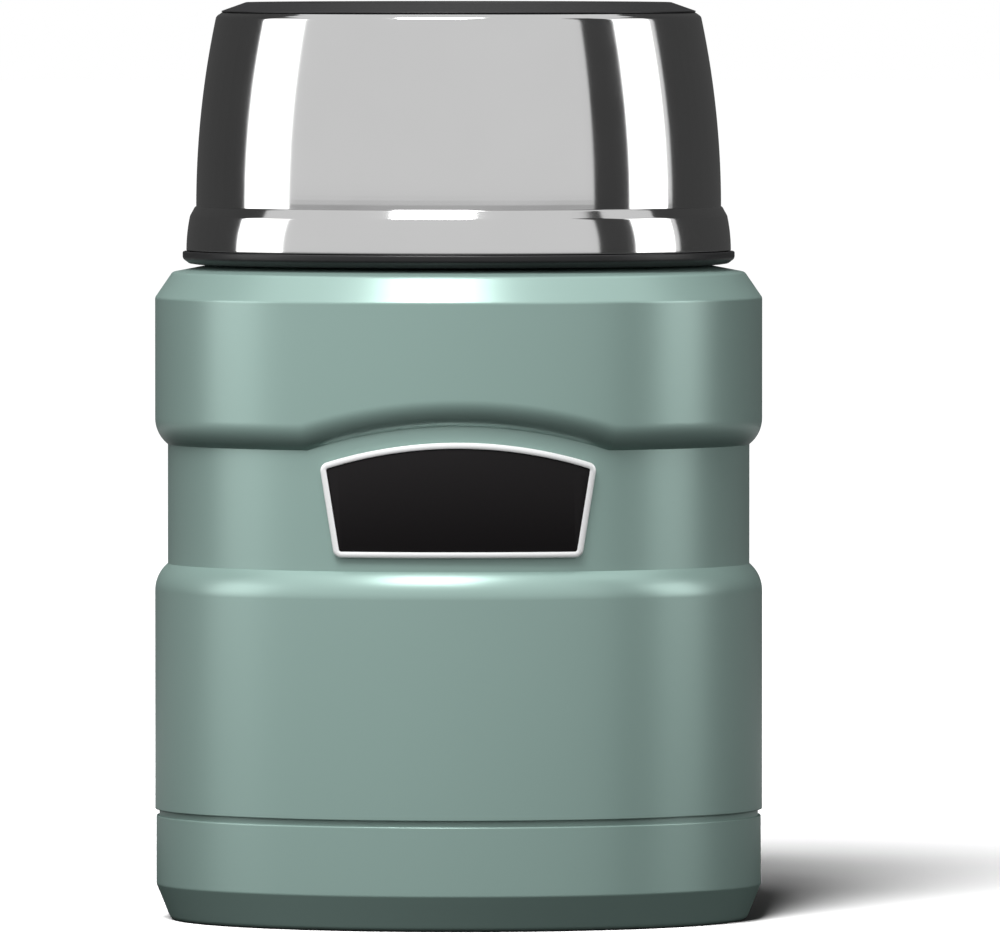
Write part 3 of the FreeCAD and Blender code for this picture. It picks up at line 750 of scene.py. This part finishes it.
class JAR_OT_bowl(bpy.types.Operator):
    """Builds the polished sleeve, black rim and black foot of the serving bowl"""
    bl_idname = "jar.bowl"
    bl_label = "Serving bowl"

    def execute(self, context):
        sizes = context.scene.jar_bowl
        mm = {key: getattr(sizes, key) / MM for key in sizes.__annotations__}
        seat = mm["top"] - 1.5
        self.sleeve(mm, seat)
        self.rim(mm)
        self.foot(mm, seat)
        return {"FINISHED"}

    def sleeve(self, mm, seat):
        """The polished sleeve: bowed skirt, rounded step, leaning side, and the top that carries the foot."""
        sheet = 0.5
        skirt, side, step = mm["skirt_radius"], mm["side_radius"], mm["step_height"]
        skirt_foot = (skirt, mm["rim_top"])
        brow = (side + 0.95, step - 1.35)
        skirt_head = (side + 0.2, step)
        side_foot = (side, step + 0.1)
        side_head = (mm["top_radius"] + 0.03, mm["top"] - 2.2)
        flange, opening = mm["top_radius"] - 1.0, mm["top_radius"] - 4.0
        outer = [(*skirt_foot, 0.15), *bow(skirt_foot, brow, "start", 20), (*brow, 3.0), (*skirt_head, 0.35),
                 side_foot, *bow(side_foot, side_head, "start", 40), (*side_head, 1.25), (flange, seat),
                 (opening, seat)]
        inner = [(opening, seat - sheet), (flange - 0.2, seat - sheet),
                 (side_head[0] - sheet, side_head[1] - 0.4),
                 *[(r - sheet, z) for r, z in reversed(bow(side_foot, side_head, "start", 12))],
                 (side_foot[0] - sheet, side_foot[1]), (skirt - sheet, mm["rim_top"] + 3),
                 (skirt - sheet, mm["rim_top"])]
        sleeve = turned("bowl_sleeve", rounded(outer + inner, steps=8), even(320))
        sleeve.data.materials.append(polished_steel())
        dress(sleeve, "bowl", "bowl_steel", "bowl_shell")

    def rim(self, mm):
        """The black ring round the bowl's mouth: its lip, and the upstand that the sleeve goes over."""
        face, low, ledge = mm["rim_radius"], mm["rim_bottom"], mm["rim_top"] - 0.12
        upstand, upstand_top = mm["skirt_radius"] - 0.95, mm["rim_top"] + 1.48
        bore, flange_bore, flange_top = 39.98, 40.68, 102.36
        outline = [(flange_bore, low, 0.15), (face - 1.0, low + 0.15, 0.6), (face, low + 0.9, 0.75),
                   (face, ledge, 0.25), (upstand, ledge), (upstand, upstand_top), (bore, upstand_top),
                   (bore, flange_top), (flange_bore, flange_top)]
        rim = turned("rim", rounded(outline), even(240))
        rim.data.materials.append(moulded_black("moulded_black_rim", 0.4))
        dress(rim, "bowl_stage", "rim_plastic", "bowl_rim")

    def foot(self, mm, seat):
        """The black disc on top: dished middle, chamfered edge, and a spigot down through the sleeve."""
        top, edge = mm["top"], mm["top_radius"] - 0.8
        dish, dish_edge = top - 0.8, 27.0
        spigot, spigot_bore, spigot_low = 33.38, 31.78, seat - 1.7
        underside = top - 2.3
        outline = [(0, dish), (dish_edge, dish, 0.4), (dish_edge + 0.8, top, 0.4),
                   (mm["top_radius"] - 4.6, top, 0.6), (edge, seat + 0.15, 0.1), (edge, seat), (spigot, seat),
                   (spigot, spigot_low), (spigot_bore, spigot_low), (spigot_bore, underside), (0, underside)]
        foot = turned("bowl_foot_plate", rounded(outline), even(240))
        foot.data.materials.append(moulded_black("moulded_black_foot", 0.42))
        dress(foot, "bowl", "foot_plastic", "bowl_foot")


class JAR_OT_inner_pieces(bpy.types.Operator):
    """Gives the pieces inside the jar their finishes"""
    bl_idname = "jar.inner_pieces"
    bl_label = "Inner pieces"

    def execute(self, context):
        vessel = turned_steel("brushed_vessel_steel", 0.26)
        dark = moulded_black("moulded_black_stopper", 0.5)
        given = {
            "inner_vessel": vessel, "inner_floor": vessel, "getter_holder": vessel,
            "heat_foil": plain_finish("rolled_foil", "D8D4CC", 0.2, metal=1.0, grain_mm=6.0),
            "getter": plain_finish("pressed_getter_powder", "6E6B66", 0.8),
            "vacuum_seal": plain_finish("brazed_bead", "9A9384", 0.4, metal=1.0),
            "base_cover": plain_finish("matt_base_disc", "3A3A3B", 0.6),
            "badge_tape": plain_finish("acrylic_tape", "C9C9C4", 0.6),
            "stopper_seal": silicone(),
            "stopper_cap": dark, "stopper_plug": dark,
            "stopper_core": plain_finish("white_foam", "E6E4DE", 0.9, grain_mm=1.5),
            "bowl_liner": moulded_black("moulded_black_liner", 0.34),
        }
        for name, material in given.items():
            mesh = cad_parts[name].data
            mesh.materials.clear()
            mesh.materials.append(material)
        return {"FINISHED"}


class JAR_OT_studio(bpy.types.Operator):
    """Sets the floor, the lights, the cards that the steel reflects, and the camera"""
    bl_idname = "jar.studio"
    bl_label = "Studio"

    def execute(self, context):
        s = context.scene.jar_studio
        scene = context.scene
        scene.view_settings.view_transform = "Standard"
        self.room(scene, s.fill)
        self.floor_lights(self.floor(), s.shadow)
        left = self.glow("left_strip_cloth", s.left_strip)
        right = self.glow("right_strip_cloth", s.right_strip)
        dark = self.flag()
        # First and last angle in degrees, then the distance, foot and head in metres
        self.card("left_strip", -106, -78, 0.75, 0.07, 0.46, left)
        self.card("right_strip", 79, 102.5, 0.75, 0.07, 0.46, right)
        self.card("right_gap", 60.5, 79, 0.76, 0.0, 0.9, dark)
        self.card("back_flag", 106, 254, 0.78, 0.0, 0.9, dark)
        overhead = self.glow("overhead_cloth", s.overhead)
        self.panel("overhead_softbox", Vector((-0.104, -0.386, 0.75)), 0.36, 0.42, overhead)
        cloth = self.glow("key_cloth", s.key)
        key = self.panel("key_softbox", Vector((-0.38, -0.50, 0.85)), 0.42, 0.42, cloth)
        key.visible_glossy = False
        self.camera(scene)
        return {"FINISHED"}

    def camera(self, scene):
        """A long lens a little above the jar, aimed at the middle of its height."""
        place = Vector((0.0064, -3.3, 0.1603))
        aim = Vector((0.0064, 0, 0.0698))
        data = bpy.data.cameras.new("camera")
        data.sensor_width = 36.0
        data.lens = 767.5
        data.clip_end = 60.0
        camera = bpy.data.objects.new("camera", data)
        scene.collection.objects.link(camera)
        camera.location = place
        camera.rotation_euler = (aim - place).to_track_quat("-Z", "Y").to_euler()
        scene.camera = camera

    def room(self, scene, fill):
        """White to the eye and in reflections, a plain light from the front for everything else."""
        world = bpy.data.worlds.new("studio")
        scene.world = world
        world.use_nodes = True
        tree = world.node_tree
        tree.nodes.clear()
        path = put(tree, "ShaderNodeLightPath").outputs
        seen = math_node(tree, "MAXIMUM", path["Is Camera Ray"], path["Is Glossy Ray"])
        seen = math_node(tree, "MAXIMUM", seen, path["Is Transmission Ray"])
        towards = put(tree, "ShaderNodeTexCoord").outputs["Generated"]
        way = put(tree, "ShaderNodeSeparateXYZ", {0: towards}).outputs
        front = slope(tree, way["Y"], 0.3, -0.7)
        high = slope(tree, way["Z"], -0.1, 0.5)
        part = math_node(tree, "MULTIPLY", math_node(tree, "MINIMUM", front, high), fill)
        strength = put(tree, "ShaderNodeMapRange", {0: seen, 3: part, 4: 1.0}).outputs[0]
        light = put(tree, "ShaderNodeBackground", {"Color": (1, 1, 1, 1), "Strength": strength})
        put(tree, "ShaderNodeOutputWorld", {0: light.outputs[0]})

    def floor(self):
        """Plain white floor: white by itself far out, and lit by the floor lights alone close to the jar."""
        made, tree, place = finish("white_floor")
        path = put(tree, "ShaderNodeLightPath").outputs
        eye = path["Is Camera Ray"]
        away = put(tree, "ShaderNodeVectorMath", {0: place}, operation="LENGTH").outputs["Value"]
        far = slope(tree, away, 0.14, 0.6)
        mirrored = math_node(tree, "MULTIPLY", path["Is Glossy Ray"], 0.4)
        glow = math_node(tree, "MULTIPLY", math_node(tree, "MAXIMUM", eye, mirrored), far)
        mottle = noise(tree, place, 400.0)
        # Only the camera sees the floor lit, so it throws no light back up at the jar
        pale = put(tree, "ShaderNodeMapRange", {0: eye, 3: 0.0, 4: 0.06}).outputs[0]
        white = shade(tree, mottle, (1.0, 1.0, 1.0), 0.995, 1.005)
        white = put(tree, "ShaderNodeVectorMath", {0: white, "Scale": pale}, operation="SCALE").outputs[0]
        surface(tree, Base_Color=white, Roughness=0.9, Specular_IOR_Level=0.0, Emission_Color=(1, 1, 1, 1),
                Emission_Strength=glow)
        half = 14.0
        mesh = bpy.data.meshes.new("floor")
        corners = [(-half, -half, 0), (half, -half, 0), (half, half, 0), (-half, half, 0)]
        mesh.from_pydata(corners, [], [(0, 1, 2, 3)])
        floor = bpy.data.objects.new("floor", mesh)
        bpy.context.scene.collection.objects.link(floor)
        mesh.materials.append(made)
        return floor

    def floor_lights(self, floor, power):
        """Two soft lights from the front left that fall on the floor alone and give the jar's shadow."""
        lit = bpy.data.collections.new("floor_light_receivers")
        lit.objects.link(floor)
        distance = 1.5
        # Degrees to the left of the front, degrees up, width and share of the power
        for name, left, up, size, share in (("low", 11, 36, 0.5, 0.8), ("high", 30, 52, 0.9, 0.2)):
            data = bpy.data.lights.new("floor_light_" + name, "AREA")
            data.shape = "DISK"
            data.size = size
            data.energy = power * share
            lamp = bpy.data.objects.new("floor_light_" + name, data)
            bpy.context.scene.collection.objects.link(lamp)
            turn = Euler((0, math.radians(up), math.radians(270 - left)))
            away = turn.to_matrix() @ Vector((distance, 0, 0))
            lamp.location = (away.x, away.y, abs(away.z))
            lamp.rotation_euler = (-lamp.location).to_track_quat("-Z", "Y").to_euler()
            lamp.visible_glossy = False
            lamp.light_linking.receiver_collection = lit

    def glow(self, name, strength):
        """A lit white cloth."""
        made, tree, _ = finish(name)
        light = put(tree, "ShaderNodeEmission", {"Strength": strength})
        put(tree, "ShaderNodeOutputMaterial", {0: light.outputs[0]})
        return made

    def flag(self):
        """Black cloth, which shows in the steel as the dark between the lights."""
        made, tree, place = finish("black_cloth")
        weave = noise(tree, place, 3.0)
        surface(tree, Base_Color=shade(tree, weave, (0.012, 0.012, 0.012), 0.9, 1.1), Roughness=0.9,
                Emission_Color=(1, 1, 1, 1), Emission_Strength=0.05)
        return made

    def card(self, name, first, last, distance, low, high, material):
        """An upright card bent round the jar, between two angles from the camera's side, in degrees."""
        verts, faces = [], []
        steps = 16
        for k in range(steps + 1):
            angle = math.radians(first + (last - first) * k / steps)
            x, y = distance * math.sin(angle), -distance * math.cos(angle)
            verts += [(x, y, low), (x, y, high)]
        for k in range(steps):
            faces.append((2 * k, 2 * k + 1, 2 * k + 3, 2 * k + 2))
        return self.add(name, verts, faces, material)

    def panel(self, name, centre, wide, deep, material):
        """A flat softbox that faces the jar's shoulder."""
        towards = (Vector((0, 0, 0.09)) - centre).normalized()
        across = towards.cross(Vector((0, 0, 1))).normalized()
        along = across.cross(towards).normalized()
        corners = [(-1, -1), (1, -1), (1, 1), (-1, 1)]
        verts = [centre + across * wide / 2 * a + along * deep / 2 * b for a, b in corners]
        return self.add(name, verts, [(0, 1, 2, 3)], material)

    def add(self, name, verts, faces, material):
        """Puts a card in the studio, out of the camera's sight."""
        mesh = bpy.data.meshes.new(name)
        mesh.from_pydata(verts, [], faces)
        mesh.materials.append(material)
        card = bpy.data.objects.new(name, mesh)
        bpy.context.scene.collection.objects.link(card)
        card.visible_camera = False
        card.visible_shadow = False
        return card


class JAR_PT_panel(bpy.types.Panel):
    """Sizes, colours and light of the jar"""
    bl_idname = "JAR_PT_panel"
    bl_label = "Food Jar"
    bl_space_type = "VIEW_3D"
    bl_region_type = "UI"
    bl_category = "Food Jar"

    def draw(self, context):
        for group in GROUPS:
            box = self.layout.box()
            box.label(text=group.title())
            values = getattr(context.scene, "jar_" + group)
            for key in values.__annotations__:
                box.prop(values, key)
        for step in STEPS:
            self.layout.operator("jar." + step)


GROUPS = {
    "body": JAR_body_sizes, "badge": JAR_badge_sizes, "bowl": JAR_bowl_sizes,
    "colours": JAR_colours, "studio": JAR_studio,
}
STEPS = ("body", "badge", "bowl", "inner_pieces", "studio")
CLASSES = (JAR_OT_body, JAR_OT_badge, JAR_OT_bowl, JAR_OT_inner_pieces, JAR_OT_studio, JAR_PT_panel)


def register():
    for name, group in GROUPS.items():
        bpy.utils.register_class(group)
        setattr(bpy.types.Scene, "jar_" + name, bpy.props.PointerProperty(type=group))
    for kind in CLASSES:
        bpy.utils.register_class(kind)


def unregister():
    for kind in reversed(CLASSES):
        bpy.utils.unregister_class(kind)
    for name, group in GROUPS.items():
        delattr(bpy.types.Scene, "jar_" + name)
        bpy.utils.unregister_class(group)


def main():
    register()
    for step in STEPS:
        getattr(bpy.ops.jar, step)()


if __name__ == "__main__":
    main()
